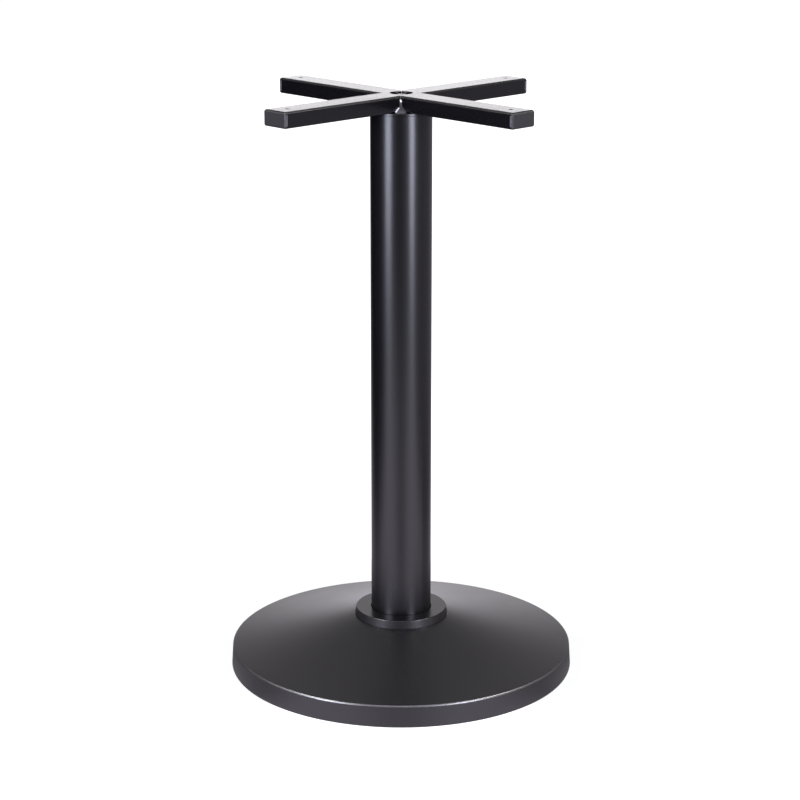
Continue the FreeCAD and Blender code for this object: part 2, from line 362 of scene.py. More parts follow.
def coated_casting(name, finish):
    """The same coat over cast iron: a slow waviness, and coarse sand grain on the underside.

    It is duller, and thin on the rounded edges, where the iron shines through.
    """
    material, tree = new_material(name)
    where = own_place(tree)
    facing = put(tree, "ShaderNodeNewGeometry").outputs["Normal"]
    upward = split(tree, facing)[2]
    beneath = between(tree, upward, *UNDERSIDE)
    above_side = between(tree, upward, *EDGE_ABOVE_SIDE)
    edge = calc(tree, "MULTIPLY", above_side, between(tree, upward, *EDGE_BELOW_TOP))
    lighter = opaque(finish.coat_colour, factor=1.6)
    colour = mottled(tree, where, opaque(finish.coat_colour), lighter, scale=700.0)
    colour = mixed_colour(tree, edge, colour, opaque(finish.edge_colour))
    mean = finish.coat_roughness
    gloss = varied(tree, where, scale=9.0, smoothest=mean + 0.055, roughest=mean + 0.085)
    gloss = calc(tree, "ADD", gloss, calc(tree, "MULTIPLY", beneath, UNDERSIDE_ROUGHNESS_CHANGE))
    waviness = noise(tree, where, scale=26.0, detail=1.0)
    wave = bumped(tree, waviness, distance=0.00006, strength=0.5)
    sand = calc(tree, "MULTIPLY", noise(tree, where, scale=460.0, detail=4.0, rough=0.62), beneath)
    sanded = bumped(tree, sand, distance=0.0005, strength=0.9, under=wave)
    orange_peel = noise(tree, where, scale=330.0, detail=1.0)
    peel = bumped(tree, orange_peel, finish.peel_depth, strength=0.6, under=sanded)
    inputs = {"Base Color": colour, "Metallic": edge, "Roughness": gloss, "Normal": peel, "IOR": COAT_IOR}
    shaded(tree, inputs)
    return material


def coated_weld(name, finish, glints=()):
    """Thin matt powder coat over weld metal, with painted glints at the given spots.

    A glint is its place and its size: a near-white, slightly metallic spot that stands in for the lamps
    caught on the bead. It is the same in every corner round the spider.
    """
    material, tree = new_material(name)
    where = own_place(tree)
    base = opaque(finish.tip_colour, factor=2.6)
    lighter = opaque(finish.tip_colour, factor=3.8)
    colour = mottled(tree, where, base, lighter, scale=600.0, detail=2.0, fade=MOST_NOISE)
    gloss = varied(tree, where, scale=240.0, smoothest=0.46, roughest=0.56, detail=2.0)
    lumps = bumped(tree, noise(tree, where, scale=420.0), distance=0.00005, strength=0.5)
    inputs = {"Roughness": gloss, "Normal": lumps, "IOR": COAT_IOR}
    corner = put(tree, "ShaderNodeVectorMath", {0: where}, operation="ABSOLUTE").outputs[0]
    glint_mask = 0.0
    # each spot is a painted glint: near-white and a little metallic, standing in for the lamps caught on the
    # bead
    for place, size in glints:
        away = put(tree, "ShaderNodeVectorMath", {0: corner, 1: place}, operation="DISTANCE")
        glint = between(tree, away.outputs["Value"], size, size * GLINT_CORE)
        glint_mask = calc(tree, "MAXIMUM", glint_mask, glint)
    if glints:
        colour = mixed_colour(tree, glint_mask, colour, opaque(finish.painted_glint_colour))
        inputs["Metallic"] = calc(tree, "MULTIPLY", glint_mask, GLINT_METALLIC)
    shaded(tree, {"Base Color": colour, **inputs})
    return material


def zinc_plate(name, finish):
    """Bright zinc on steel: metallic, faintly cloudy, with fine turning marks round the axis."""
    material, tree = new_material(name)
    where = own_place(tree)
    x, y, z = split(tree, where)
    profile = vector(tree, x=axis_distance(tree, x, y), z=z)
    marks = noise(tree, profile, scale=5200.0, detail=1.0)
    scored = bumped(tree, marks, distance=0.00001, strength=0.5)
    dull = opaque(finish.zinc_colour, factor=0.74)
    colour = mottled(tree, where, opaque(finish.zinc_colour), dull, scale=180.0, fade=MOST_NOISE)
    gloss = varied(tree, where, scale=180.0, smoothest=0.26, roughest=0.42)
    shaded(tree, {"Base Color": colour, "Metallic": 1.0, "Roughness": gloss, "Normal": scored})
    return material


def moulded_nylon(name, finish):
    """Matt moulded nylon, spark-textured, with pale scuffs where it slides on the floor."""
    material, tree = new_material(name)
    where = own_place(tree)
    height = split(tree, where)[2]
    patches = noise(tree, where, scale=260.0, detail=4.0, rough=0.7)
    scuffs = calc(tree, "MULTIPLY", between(tree, height, *SOLE), between(tree, patches, *SCUFFS))
    scuffed = opaque(finish.nylon_colour, factor=2.6)
    colour = mixed_colour(tree, scuffs, opaque(finish.nylon_colour), scuffed)
    gloss = varied(tree, where, scale=90.0, smoothest=0.5, roughest=0.62, detail=2.0)
    spark = bumped(tree, noise(tree, where, scale=1500.0), distance=0.00004, strength=0.7)
    shaded(tree, {"Base Color": colour, "Roughness": gloss, "Normal": spark, "IOR": NYLON_IOR})
    return material


def finish_nodes(names, material):
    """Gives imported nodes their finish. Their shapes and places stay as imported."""
    for name in names:
        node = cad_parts[name]
        node.data.materials.clear()
        node.data.materials.append(material)


# Geometry node trees


def new_tree(name, inputs):
    """Geometry tree with named inputs, and the node that hands them out."""
    tree = bpy.data.node_groups.new(name, "GeometryNodeTree")
    for label, kind, value in inputs:
        socket = tree.interface.new_socket(label, in_out="INPUT", socket_type=kind)
        if value is not None:
            socket.default_value = value
    tree.interface.new_socket("Geometry", in_out="OUTPUT", socket_type="NodeSocketGeometry")
    return tree, tree.nodes.new("NodeGroupInput").outputs


def close_tree(tree, geometry, material):
    """Ends a tree in plain geometry that carries its material."""
    whole = put(tree, "GeometryNodeRealizeInstances", {0: geometry}).outputs[0]
    smooth = put(tree, "GeometryNodeSetShadeSmooth", {"Geometry": whole}).outputs[0]
    dressed = put(tree, "GeometryNodeSetMaterial", {"Geometry": smooth, "Material": material}).outputs[0]
    put(tree, "NodeGroupOutput", {0: dressed})


def grown(name, tree, values):
    """Mesh object made by a tree, with its modifier run and taken off."""
    piece = bpy.data.objects.new(name, bpy.data.meshes.new(name))
    bpy.context.scene.collection.objects.link(piece)
    modifier = piece.modifiers.new("Shape", "NODES")
    modifier.node_group = tree
    for socket in tree.interface.items_tree:
        if socket.item_type == "SOCKET" and socket.in_out == "INPUT" and socket.name in values:
            modifier[socket.identifier] = values[socket.name]
    bpy.context.view_layer.update()
    graph = bpy.context.evaluated_depsgraph_get()
    mesh = bpy.data.meshes.new_from_object(piece.evaluated_get(graph))
    piece.modifiers.remove(modifier)
    piece.data = mesh
    mesh.name = name
    if not mesh.polygons:
        raise RuntimeError(f"{name} came out empty")
    return piece


def polar(tree):
    """Turn round the Z axis, in radians from 0 up, and height of each point of a unit cylinder."""
    place = tree.nodes.new("GeometryNodeInputPosition").outputs[0]
    x, y, z = split(tree, place)
    angle = calc(tree, "ARCTAN2", y, x)
    return calc(tree, "FLOORED_MODULO", angle, math.tau), z


def turned_out(tree, radius, angle):
    """X and Y of a point at a distance and a turn from the Z axis."""
    x = calc(tree, "MULTIPLY", radius, calc(tree, "COSINE", angle))
    y = calc(tree, "MULTIPLY", radius, calc(tree, "SINE", angle))
    return x, y


def reshaped(tree, mesh, x, y, z):
    place = vector(tree, x, y, z)
    return put(tree, "GeometryNodeSetPosition", {"Geometry": mesh, "Position": place}).outputs[0]


def lifted(tree, mesh, height, rotation=(0.0, 0.0, 0.0)):
    """Mesh turned round the origin and then lifted."""
    inputs = {"Geometry": mesh, "Translation": vector(tree, z=height), "Rotation": rotation}
    return put(tree, "GeometryNodeTransform", inputs).outputs[0]


def plain_cylinder(tree, around, rows, radius, depth):
    inputs = {"Vertices": around, "Side Segments": rows, "Radius": radius, "Depth": depth}
    return put(tree, "GeometryNodeMeshCylinder", inputs, fill_type="NGON").outputs[0]


def unit_cylinder(tree, around, rows):
    """Closed cylinder of radius 1 from height 0 to 1."""
    return lifted(tree, plain_cylinder(tree, around, rows, 1.0, 1.0), 0.5)


def thread_tree():
    """Rod with a real helical thread and a chamfered tip at both ends, and a plain shank between them."""
    tree, given = new_tree(
        "threaded_rod",
        [
            ("Radius", "NodeSocketFloat", 0.006),
            ("Pitch", "NodeSocketFloat", 0.00175),
            ("Depth", "NodeSocketFloat", 0.001),
            ("Length", "NodeSocketFloat", 0.03),
            ("Chamfer", "NodeSocketFloat", 0.001),
            ("Sides", "NodeSocketInt", 40),
            ("Rows", "NodeSocketInt", 150),
            ("Top Start", "NodeSocketFloat", 0.0),
            ("Bottom Start", "NodeSocketFloat", 0.0),
            ("Material", "NodeSocketMaterial", None),
        ],
    )
    valley_flat = 1.15          # steepens the flanks, so that the valley has a flat
    shank_depth = 0.4           # depth of the shank below the crests, in thread depths
    shank_rows = 12
    mesh = unit_cylinder(tree, given["Sides"], given["Rows"])
    angle, unit = polar(tree)
    height = calc(tree, "MULTIPLY", unit, given["Length"])
    turns = calc(tree, "DIVIDE", height, given["Pitch"])
    phase = calc(tree, "FRACT", calc(tree, "SUBTRACT", turns, calc(tree, "DIVIDE", angle, math.tau)))
    valley = calc(tree, "ABSOLUTE", calc(tree, "MULTIPLY_ADD", phase, 2.0, -1.0))
    valley = calc(tree, "MINIMUM", calc(tree, "MULTIPLY", valley, valley_flat), 1.0)
    cut = calc(tree, "MULTIPLY", valley, given["Depth"])
    flank = calc(tree, "SUBTRACT", given["Radius"], cut)
    to_tip = calc(tree, "SUBTRACT", given["Length"], height)
    tip = calc(tree, "ADD", calc(tree, "SUBTRACT", given["Radius"], given["Chamfer"]), to_tip)
    x, y = turned_out(tree, calc(tree, "MINIMUM", flank, tip), angle)
    end = reshaped(tree, mesh, x, y, height)
    upper = lifted(tree, end, given["Top Start"])
    lower = lifted(tree, end, given["Bottom Start"], rotation=(math.pi, 0.0, 0.0))
    gap = calc(tree, "SUBTRACT", given["Top Start"], given["Bottom Start"])
    core = calc(tree, "SUBTRACT", given["Radius"], calc(tree, "MULTIPLY", given["Depth"], shank_depth))
    middle = calc(tree, "MULTIPLY", calc(tree, "ADD", given["Top Start"], given["Bottom Start"]), 0.5)
    shank = lifted(tree, plain_cylinder(tree, given["Sides"], shank_rows, core, gap), middle)
    joined = tree.nodes.new("GeometryNodeJoinGeometry")
    for part in (upper, lower, shank):
        tree.links.new(part, joined.inputs[0])
    close_tree(tree, joined.outputs[0], given["Material"])
    return tree


def one_of(tree, choice, first, second):
    """First value where the choice is 1, and second where it is 0."""
    rest = calc(tree, "SUBTRACT", 1.0, choice)
    return calc(tree, "ADD", calc(tree, "MULTIPLY", first, choice), calc(tree, "MULTIPLY", second, rest))


def ripple(tree, unit, across, given):
    """Height of the weld's frozen puddles, each a crescent that bows down the bead."""
    roundness = 0.6             # power of the puddle's half wave
    mean_rise = 0.6
    bow = calc(tree, "MULTIPLY", calc(tree, "MULTIPLY", across, across), given["Bow"])
    along = calc(tree, "ADD", calc(tree, "MULTIPLY", unit, given["Puddles"]), bow)
    place = tree.nodes.new("GeometryNodeInputPosition").outputs[0]
    inputs = {"Vector": place, "W": given["Seed"], "Scale": 3.0, "Detail": 1.0}
    wander = put(tree, "ShaderNodeTexNoise", inputs, noise_dimensions="4D").outputs[0]
    along = calc(tree, "ADD", along, wander)
    step = calc(tree, "FRACT", along)
    wave = calc(tree, "SINE", calc(tree, "MULTIPLY", step, math.pi))
    rise = calc(tree, "POWER", wave, roundness)
    return calc(tree, "MULTIPLY", calc(tree, "SUBTRACT", rise, mean_rise), given["Ripple"])


def bead_inputs(extra):
    return [
        ("Length", "NodeSocketFloat", 0.016),
        ("Start", "NodeSocketFloat", 0.7),
        ("Ripple", "NodeSocketFloat", 0.0003),
        ("Puddles", "NodeSocketFloat", 9.0),
        ("Bow", "NodeSocketFloat", 0.8),
        ("Seed", "NodeSocketFloat", 3.0),
        ("Rows", "NodeSocketInt", 60),
        ("Material", "NodeSocketMaterial", None),
    ] + extra


def spun(tree, bead, x, y, start, sides):
    """Bead set round the spider: once in each corner, or with two sides, once at each side of each arm."""
    line = {"Count": len(ARMS) * sides, "Offset": (0.0, 0.0, 0.0)}
    points = put(tree, "GeometryNodeMeshLine", line).outputs[0]
    index = tree.nodes.new("GeometryNodeInputIndex").outputs[0]
    side = calc(tree, "FLOORED_MODULO", index, float(sides))
    quarter = calc(tree, "FLOOR", calc(tree, "DIVIDE", index, float(sides)))
    turn = calc(tree, "MULTIPLY", quarter, math.pi / 2)
    flip = calc(tree, "MULTIPLY_ADD", side, -2.0, 1.0)
    placed = turned(tree, vector(tree, x, calc(tree, "MULTIPLY", y, flip), start), turn)
    points = put(tree, "GeometryNodeSetPosition", {"Geometry": points, "Position": placed}).outputs[0]
    own_turn = calc(tree, "ADD", turn, calc(tree, "MULTIPLY", side, math.pi))
    rotation = put(tree, "FunctionNodeEulerToRotation", {0: vector(tree, z=own_turn)}).outputs[0]
    inputs = {"Points": points, "Instance": bead, "Rotation": rotation}
    return put(tree, "GeometryNodeInstanceOnPoints", inputs).outputs[0]


def corner_bead_tree():
    """Fillet weld that stands in the corner between two arms and spreads out on the hub plate."""
    tree, given = new_tree(
        "corner_weld_bead",
        bead_inputs([
            ("Corner", "NodeSocketFloat", 0.0185),
            ("Foot Leg", "NodeSocketFloat", 0.006),
            ("Top Leg", "NodeSocketFloat", 0.0016),
            ("Root", "NodeSocketFloat", 0.0004),
        ]),
    )
    around = 48
    full_spread = 0.05          # height where the bead has its full leg at the foot, in bead lengths
    no_spread = 0.62            # and where it has narrowed to the leg at the top
    rounding = 0.93             # height where its upper end starts to close
    mesh = unit_cylinder(tree, around, given["Rows"])
    angle, unit = polar(tree)
    across = calc(tree, "SUBTRACT", calc(tree, "DIVIDE", angle, math.pi / 4), 1.0)  # -1 to 1 from arm to arm
    outward = calc(tree, "LESS_THAN", angle, math.pi / 2 + ANGLE_SLACK)
    spread = between(tree, unit, no_spread, full_spread)
    reach = calc(tree, "SUBTRACT", given["Foot Leg"], given["Top Leg"])
    leg = calc(tree, "MULTIPLY_ADD", spread, reach, given["Top Leg"])
    leg = calc(tree, "ADD", leg, ripple(tree, unit, across, given))
    leg = calc(tree, "MULTIPLY", leg, between(tree, unit, 1.0, rounding))
    radius = calc(tree, "MAXIMUM", calc(tree, "MULTIPLY", leg, outward), given["Root"])
    x, y = turned_out(tree, radius, angle)
    bead = reshaped(tree, mesh, x, y, calc(tree, "MULTIPLY", unit, given["Length"]))
    beads = spun(tree, bead, given["Corner"], given["Corner"], given["Start"], sides=1)
    close_tree(tree, beads, given["Material"])
    return tree


def end_bead_tree():
    """Narrow bead that closes the slot beside a folded end tab, crowned on the outside."""
    tree, given = new_tree(
        "end_tab_weld_bead",
        bead_inputs([
            ("Out", "NodeSocketFloat", 0.197),
            ("Side", "NodeSocketFloat", 0.0185),
            ("Half Width", "NodeSocketFloat", 0.0011),
            ("Crown", "NodeSocketFloat", 0.0005),
            ("Slot Half", "NodeSocketFloat", 0.0004),
            ("Slot Depth", "NodeSocketFloat", 0.0025),
        ]),
    )
    around = 32
    rounding = 0.08             # length of each rounded end, in bead lengths
    end_width = 0.4             # width left at the very ends, in bead widths
    mesh = unit_cylinder(tree, around, given["Rows"])
    angle, unit = polar(tree)
    turn = calc(tree, "COSINE", angle)
    rise = calc(tree, "SINE", angle)
    outward = calc(tree, "LESS_THAN", angle, math.pi + ANGLE_SLACK)
    bumps = ripple(tree, unit, turn, given)
    upper_end = between(tree, unit, 1.0, 1.0 - rounding)
    ends = calc(tree, "MULTIPLY", upper_end, between(tree, unit, 0.0, rounding))
    crown = calc(tree, "MULTIPLY", calc(tree, "ADD", given["Crown"], bumps), ends)
    wide = calc(tree, "MULTIPLY", given["Half Width"], calc(tree, "MAXIMUM", ends, end_width))
    x = calc(tree, "MULTIPLY", turn, one_of(tree, outward, wide, given["Slot Half"]))
    y = calc(tree, "MULTIPLY", rise, one_of(tree, outward, crown, given["Slot Depth"]))
    bead = reshaped(tree, mesh, x, y, calc(tree, "MULTIPLY", unit, given["Length"]))
    beads = spun(tree, bead, given["Out"], given["Side"], given["Start"], sides=2)
    close_tree(tree, beads, given["Material"])
    return tree


# Settings


def colour_setting(name, description, default, most=1.0):
    return FloatVectorProperty(
        name=name, description=description, default=default, min=0.0, max=most, subtype="COLOR"
    )


def length_setting(name, description, default, least=0.0):
    return FloatProperty(name=name, description=description, default=default, min=least, unit="LENGTH")


def angle_setting(name, description, degrees):
    return FloatProperty(name=name, description=description, default=math.radians(degrees), subtype="ANGLE")


def power_setting(name, description, watts):
    return FloatProperty(name=name, description=description, default=watts, min=0.0, unit="POWER")


class TableBaseFinish(bpy.types.PropertyGroup):
    """Colours and textures of the coat, the plating and the nylon"""

    coat_colour: colour_setting("Coat Colour", "Colour of the powder coat", (0.0019, 0.0017, 0.0023))
    coat_roughness: FloatProperty(
        name="Coat Roughness",
        description="Roughness of the powder coat on the column, from which the other coats differ a little",
        default=0.28,
        min=0.0,
        max=1.0,
        subtype="FACTOR",
    )
    edge_colour: colour_setting(
        "Casting Edge Colour",
        "Colour of the rounded edges of the casting, where the coat is thin",
        (0.150, 0.147, 0.143),
    )
    tip_colour: colour_setting(
        "Arm End Colour",
        "Colour of the thin matt coat on the ground ends of the arms, lighter again on the welds",
        (0.0132, 0.0126, 0.0132),
    )
    peel_depth: length_setting("Orange Peel", "Height of the coat's orange peel", 0.000035)
    zinc_colour: colour_setting(
        "Zinc Colour", "Colour of the plating on the rod, nuts, washers and screws", (0.62, 0.60, 0.56)
    )
    # near-white colour of the painted glints on the corner welds
    painted_glint_colour: colour_setting(
        "Painted Glint Colour", "Near-white colour painted on the corner welds as glints of the lamps", (0.98, 0.97, 0.96)
    )
    nylon_colour: colour_setting("Nylon Colour", "Colour of the glides under the foot", (0.018, 0.018, 0.019))


class TableBaseWelds(bpy.types.PropertyGroup):
    """Sizes of the weld beads on the spider"""

    foot_leg: length_setting(
        "Corner Weld Foot", "Leg of a corner weld where it runs out on the hub plate", 0.0098
    )
    top_leg: length_setting("Corner Weld Top", "Leg of a corner weld at its upper end", 0.0018)
    ripple: length_setting("Ripple Height", "Height of the ripples left by the weld puddle", 0.00014)
    puddles: IntProperty(
        name="Ripples",
        description="Number of ripples along a corner bead",
        default=9,
        min=1,
    )
    crown: length_setting("End Weld Crown", "How far the bead beside an end tab stands out", 0.0005)


class TableBaseRod(bpy.types.PropertyGroup):
    """Sizes of the thread on the tie rod"""

    pitch: length_setting("Thread Pitch", "Distance between turns of the thread", 0.00175, least=0.0002)
    depth: length_setting("Thread Depth", "Depth of the thread's valleys", 0.00095)
    length: length_setting("Threaded Length", "Length of thread at each end of the rod", 0.03, least=0.005)


class TableBaseStage(bpy.types.PropertyGroup):
    """Camera, floor and lights"""

    azimuth: angle_setting(
        "Camera Azimuth", "Where the camera stands round the base, from the front towards the right", 46.05
    )
    distance: length_setting(
        "Camera Distance", "Distance of the camera from the column, along the floor", 2.7235, least=0.5
    )
    height: length_setting("Camera Height", "Height of the camera above the floor", 1.1255)
    pitch: angle_setting("Camera Pitch", "How far the camera looks down", 15.99)
    turn: angle_setting("Camera Turn", "How far the camera looks to the left of the column", 0.03)
    lens: FloatProperty(
        name="Lens",
        description="Focal length in millimetres on a 36 mm sensor",
        default=102.986,
        min=10.0,
        unit="CAMERA",
    )
    floor_colour: colour_setting("Floor Colour", "Colour of the floor under the lamps", (0.86, 0.86, 0.86))
    mirror_colour: colour_setting(
        "Mirrored Floor Colour", "Colour of the floor as the coat mirrors it", (1.0, 0.945, 1.07), most=2.0
    )
    room_colour: colour_setting(
        "Room Colour",
        "Colour of the walls and ceiling as the coat mirrors them",
        (1.0, 0.955, 1.02),
        most=2.0,
    )
    lamp_colour: colour_setting(
        "Lamp Colour", "Colour of the strip lamps and the front softbox", (0.79, 0.82, 1.0)
    )
    left_lamp: power_setting("Left Strip", "Power of the strip lamp on the left", 54.0)
    right_lamp: power_setting("Right Strip", "Power of the strip lamp on the right", 46.0)
    high_lamps: power_setting(
        "High Softboxes", "Power of each of the two softboxes high up beside the base", 46.0
    )
    front_lamp: power_setting("Front Softbox", "Power of the softbox high above the camera's side", 18.0)
    rear_lamp: power_setting("Rear Softbox", "Power of the softbox far behind the base", 16.0)


# Operators


class TABLEBASE_OT_foot(bpy.types.Operator):
    """Finish the cast foot"""

    bl_idname = "tablebase.foot"
    bl_label = "Cast Foot"

    def execute(self, context):
        finish = context.scene.tablebase_finish
        finish_nodes(["base_casting"], coated_casting("powder_coated_casting", finish))
        return {"FINISHED"}


class TABLEBASE_OT_column(bpy.types.Operator):
    """Finish the column, its collar and the hub plate"""

    bl_idname = "tablebase.column"
    bl_label = "Column"

    def execute(self, context):
        coat = powder_coat("powder_coated_column", context.scene.tablebase_finish)
        finish_nodes(["column_tube", "foot_collar", "hub_plate"], coat)
        return {"FINISHED"}


class TABLEBASE_OT_arms(bpy.types.Operator):
    """Finish the four arms of the spider"""

    bl_idname = "tablebase.arms"
    bl_label = "Arms"

    def execute(self, context):
        finish = context.scene.tablebase_finish
        tip = high("arm_right").x
        coat = powder_coat("powder_coated_arms", finish, tip, ARM_ROUGHNESS_CHANGE)
        finish_nodes(ARMS, coat)
        return {"FINISHED"}


class TABLEBASE_OT_welds(bpy.types.Operator):
    """Make the rippled weld beads between the arms and beside their end tabs"""

    bl_idname = "tablebase.welds"
    bl_label = "Weld Beads"

    def execute(self, context):
        sizes = context.scene.tablebase_welds
        half = high("arm_right").y
        hub = low("corner_welds").z
        top = high("corner_welds").z
        # places of the painted glints: near-white spots on each corner weld where the bead catches the lamps
        glints = [((half + x, half + y, top - down), size) for x, y, down, size in GLINTS_BELOW_TOP]
        glints += [((half + x, half + y, hub + up), size) for x, y, up, size in GLINTS_ABOVE_HUB]
        finish = context.scene.tablebase_finish
        coat = coated_weld("coated_weld_metal", finish)
        glinted = coated_weld("specked_weld_metal", finish, glints)
        corner = {
            "Corner": half,
            "Start": hub - CORNER_BEAD_SINK,
            "Length": top - hub + CORNER_BEAD_SINK,
            "Foot Leg": sizes.foot_leg,
            "Top Leg": sizes.top_leg,
            "Ripple": sizes.ripple,
            "Puddles": float(sizes.puddles),
            "Material": glinted,
        }
        beads = grown("corner_weld_beads", corner_bead_tree(), corner)
        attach(beads, "root")
        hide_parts("corner_welds")
        base = low("end_tab_welds").z
        end = {
            "Out": high("arm_right").x - END_BEAD_INSET,
            "Side": half,
            "Start": base,
            "Length": high("end_tab_welds").z - base,
            "Crown": sizes.crown,
            "Ripple": sizes.ripple * END_BEAD_RIPPLE,
            "Puddles": float(sizes.puddles) + END_BEAD_EXTRA_PUDDLES,
            "Material": coat,
        }
        beads = grown("end_tab_weld_beads", end_bead_tree(), end)
        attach(beads, "root")
        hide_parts("end_tab_welds")
        return {"FINISHED"}


class TABLEBASE_OT_rod(bpy.types.Operator):
    """Make the tie rod with its threaded ends"""

    bl_idname = "tablebase.rod"
    bl_label = "Tie Rod"

    def execute(self, context):
        sizes = context.scene.tablebase_rod
        zinc = zinc_plate("zinc_plate_rod", context.scene.tablebase_finish)
        values = {
            "Radius": high("tie_rod").x,
            "Pitch": sizes.pitch,
            "Depth": sizes.depth,
            "Length": sizes.length,
            "Rows": round(sizes.length / sizes.pitch * THREAD_ROWS_PER_TURN),
            "Top Start": high("tie_rod").z - sizes.length,
            "Bottom Start": low("tie_rod").z + sizes.length,
            "Material": zinc,
        }
        rod = grown("threaded_tie_rod", thread_tree(), values)
        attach(rod, "root")
        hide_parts("tie_rod")
        return {"FINISHED"}


class TABLEBASE_OT_hardware(bpy.types.Operator):
    """Finish the nuts, the washers and the screws of the glides"""

    bl_idname = "tablebase.hardware"
    bl_label = "Nuts, Washers and Screws"

    def execute(self, context):
        finish = context.scene.tablebase_finish
        finish_nodes(NUTS_AND_WASHERS, zinc_plate("zinc_plate_nuts", finish))
        finish_nodes(["glide_screws"], zinc_plate("zinc_plate_screws", finish))
        return {"FINISHED"}


class TABLEBASE_OT_glides(bpy.types.Operator):
    """Finish the four glides"""

    bl_idname = "tablebase.glides"
    bl_label = "Glides"

    def execute(self, context):
        finish_nodes(GLIDES, moulded_nylon("moulded_nylon", context.scene.tablebase_finish))
        return {"FINISHED"}


# Studio


def seen_directly(tree):
    """1 for rays that should see the plain background, and the kinds of rays.

    They are the camera's rays and those that a mirroring or clear surface sends on.
    """
    rays = put(tree, "ShaderNodeLightPath").outputs
    either = calc(tree, "MAXIMUM", rays["Is Camera Ray"], rays["Is Glossy Ray"])
    return calc(tree, "MAXIMUM", either, rays["Is Transmission Ray"]), rays


def around_camera(tree, azimuth):
    """Place on the stage: distance to the right, distance away and height, seen from the camera's side."""
    return split(tree, turned(tree, own_place(tree), -azimuth))


def sheet_extent(tree, x, y):
    """1 on the white sheet that lies on the floor, and 0 beyond it.

    The sheet is narrowest just behind the base, widens towards the camera and away from it, and ends between
    the base and the camera.
    """
    aside = calc(tree, "ABSOLUTE", x)
    to_camera = calc(tree, "MULTIPLY_ADD", y, SHEET_WIDENS_TO_CAMERA, aside)
    away = calc(tree, "ADD", calc(tree, "MULTIPLY_ADD", y, -SHEET_WIDENS_AWAY, aside), SHEET_WAIST)
    reach = calc(tree, "MINIMUM", to_camera, away)
    return calc(tree, "MULTIPLY", between(tree, reach, *SHEET_SIDE), between(tree, y, *SHEET_FRONT))


def sheet_strength(tree, x, y, radius):
    """Strength of the white sheet as the coat mirrors it.

    It changes with the turn from the camera's side, and once more close round the foot.
    """
    turn = calc(tree, "ARCTAN2", calc(tree, "ABSOLUTE", x), calc(tree, "MULTIPLY", y, -1.0))
    sheet = calc(tree, "MULTIPLY", sheet_extent(tree, x, y), between(tree, turn, *SHEET_BY_TURN))
    brighter = between(tree, turn, *FOOT_BRIGHTER_IN_FRONT)
    darker = between(tree, turn, *FOOT_DARKER_BESIDE)
    change = calc(tree, "SUBTRACT", brighter, darker)
    change = calc(tree, "MULTIPLY", between(tree, radius, *ROUND_THE_FOOT), change)
    sheet = calc(tree, "MULTIPLY", sheet, calc(tree, "ADD", 1.0, change))
    beside = between(tree, turn, *SHEET_BESIDE)
    behind = between(tree, turn, *SHEET_BEHIND)
    return calc(tree, "MULTIPLY", sheet, calc(tree, "MAXIMUM", beside, behind))


def floor_material(stage):
    """Pale floor: white to the eye with a soft shadow, and a white sheet with a dark rim in the coat."""
    material, tree = new_material("studio_floor")
    direct, rays = seen_directly(tree)
    x, y, _ = around_camera(tree, stage.azimuth)
    radius = axis_distance(tree, x, y)
    mirrored = calc(
        tree, "MAXIMUM", sheet_strength(tree, x, y, radius), between(tree, x, *FLOOR_TO_THE_RIGHT)
    )
    seen = calc(tree, "MULTIPLY", rays["Is Camera Ray"], between(tree, radius, *FLOOR_TO_THE_EYE))
    strength = calc(tree, "MAXIMUM", mirrored, seen)
    paint = put(tree, "ShaderNodeBsdfDiffuse", {"Color": opaque(stage.floor_colour)})
    tint = mixed_colour(tree, rays["Is Camera Ray"], opaque(stage.mirror_colour), WHITE)
    glow = put(tree, "ShaderNodeEmission", {"Color": tint, "Strength": strength})
    share = calc(tree, "MULTIPLY", direct, FLOOR_GLOW)
    share = calc(tree, "MULTIPLY_ADD", rays["Is Glossy Ray"], 1.0 - FLOOR_GLOW, share)
    lit = put(tree, "ShaderNodeMixShader", {0: share, 1: paint.outputs[0], 2: glow.outputs[0]})
    beneath = put(tree, "ShaderNodeNewGeometry").outputs["Backfacing"]
    clear = put(tree, "ShaderNodeBsdfTransparent")
    one_sided = put(tree, "ShaderNodeMixShader", {0: beneath, 1: lit.outputs[0], 2: clear.outputs[0]})
    put(tree, "ShaderNodeOutputMaterial", {"Surface": one_sided.outputs[0]})
    return material


def room_material(stage):
    """Studio walls and ceiling as the coat mirrors them: a white sweep behind the base, dim elsewhere."""
    material, tree = new_material("studio_room")
    x, y, z = around_camera(tree, stage.azimuth)
    sideways = between(tree, calc(tree, "ABSOLUTE", x), *SWEEP_SIDE)
    sweep = calc(tree, "MULTIPLY", sideways, between(tree, y, *SWEEP_AWAY))
    sweep = calc(tree, "MULTIPLY", sweep, between(tree, z, *SWEEP_UP))
    start = between(tree, z, *OVERHEAD_START)
    overhead = calc(tree, "MULTIPLY", start, between(tree, z, *OVERHEAD_END))
    nearer = calc(tree, "MULTIPLY", between(tree, z, *CEILING_UP), between(tree, y, *CEILING_NEARER))
    overhead = calc(tree, "MULTIPLY_ADD", overhead, nearer, overhead)
    overhead = calc(tree, "MULTIPLY", overhead, between(tree, y, *OVERHEAD_TO_CAMERA))
    dim = between(tree, x, *WALL_LEFT_TO_RIGHT)
    strength = calc(tree, "MAXIMUM", sweep, calc(tree, "MAXIMUM", dim, overhead))
    glow = put(tree, "ShaderNodeEmission", {"Color": opaque(stage.room_colour), "Strength": strength})
    put(tree, "ShaderNodeOutputMaterial", {"Surface": glow.outputs[0]})
    return material


def plain_mesh(name, points, faces, material):
    """Piece of the stage."""
    mesh = bpy.data.meshes.new(name)
    mesh.from_pydata(points, [], faces)
    mesh.materials.append(material)
    made = bpy.data.objects.new(name, mesh)
    bpy.context.scene.collection.objects.link(made)
    return made


def circle_points(radius, height):
    turns = [math.tau * k / ROOM_SIDES for k in range(ROOM_SIDES)]
    return [(radius * math.cos(a), radius * math.sin(a), height) for a in turns]


